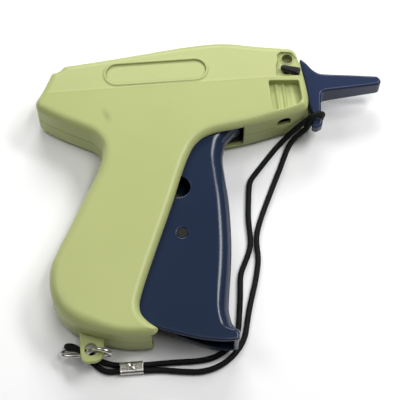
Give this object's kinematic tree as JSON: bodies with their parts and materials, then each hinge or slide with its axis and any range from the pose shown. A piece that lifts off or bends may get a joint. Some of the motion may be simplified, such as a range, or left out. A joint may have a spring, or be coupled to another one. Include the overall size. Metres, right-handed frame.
{
  "type": "garment tag attacher",
  "caption": "Pistol-shaped tagging gun with a two-part casing, sprung hollow trigger, lever-driven push rod, hollow needle under a pull-off cap, needle lock lever and a wrist cord on a lug.",
  "frame": {"origin": "bottom centre of the box of the gun as it lies on its left side, without its wrist cord", "axes": "+X along the barrel to the nose, +Y towards the top of the barrel, +Z out of the right side of the casing"},
  "size_m": [0.1666, 0.1606, 0.0252],
  "materials": {
    "casing_plastic": "moulded pale olive-lime plastic, semi-gloss with a fine moulded grain",
    "navy_plastic": "moulded dark navy plastic, glossy",
    "black_plastic": "black moulded plastic",
    "nylon": "natural nylon",
    "steel_hardware": "zinc-plated steel",
    "spring_steel": "spring steel wire",
    "needle_steel": "polished hardened steel",
    "nickel": "nickel-plated, lightly worn",
    "cord": "braided black elastic cord"
  },
  "bodies": {
    "casing": {"left_casing": "casing_plastic", "right_casing": "casing_plastic", "casing_screws": "steel_hardware", "trigger_pin": "steel_hardware", "lever_pin": "steel_hardware", "feed_wheel_axle": "steel_hardware", "feed_detent_spring": "spring_steel", "needle_base": "nylon", "needle": "needle_steel", "cutter_blade": "needle_steel", "return_spring": "spring_steel", "split_ring": "nickel", "cord": "cord", "cord_ferrule": "nickel"},
    "trigger": {"trigger": "navy_plastic", "drive_pin": "steel_hardware"},
    "swing_lever": {"swing_lever": "nylon"},
    "slider": {"slider": "nylon", "slider_pin": "steel_hardware", "push_rod": "steel_hardware"},
    "lock_lever": {"lock_lever": "black_plastic"},
    "feed_wheel": {"feed_wheel": "nylon"},
    "needle_cap": {"needle_cap": "navy_plastic", "cord_knot": "cord"}
  },
  "joints": [
    {"name": "trigger_pull", "type": "hinge", "parent": "casing", "child": "trigger", "pos_m": [0.00032, 0.04052, 0.01225], "axis": [0, 0, -1], "range_deg": [0, 18], "stiffness_Nm_per_rad": 1.5, "springref_deg": -20.05, "deforming": ["return_spring"]},
    {"name": "swing_lever_turn", "type": "hinge", "parent": "casing", "child": "swing_lever", "pos_m": [-0.02968, 0.00942, 0.01225], "axis": [0, 0, -1], "range_deg": [0, 48]},
    {"name": "slider_stroke", "type": "slide", "parent": "casing", "child": "slider", "axis": [1, 0, 0], "range_m": [0, 0.04]},
    {"name": "lock_lever_turn", "type": "hinge", "parent": "casing", "child": "lock_lever", "pos_m": [0.03772, 0.05832, 0.02], "axis": [0, 0, 1], "range_deg": [0, 80]},
    {"name": "feed_wheel_turn", "type": "hinge", "parent": "casing", "child": "feed_wheel", "pos_m": [0.02542, 0.04402, 0.01225], "axis": [0, 0, -1], "continuous": true},
    {"name": "needle_cap_pull", "type": "slide", "parent": "casing", "child": "needle_cap", "axis": [1, 0, 0], "range_m": [0, 0.045]}
  ],
  "couplings": [
    {"joint": "swing_lever_turn", "follows": "trigger_pull", "ratio": 2.6667},
    {"joint": "slider_stroke", "follows": "trigger_pull", "m_per_rad": 0.12732}
  ]
}
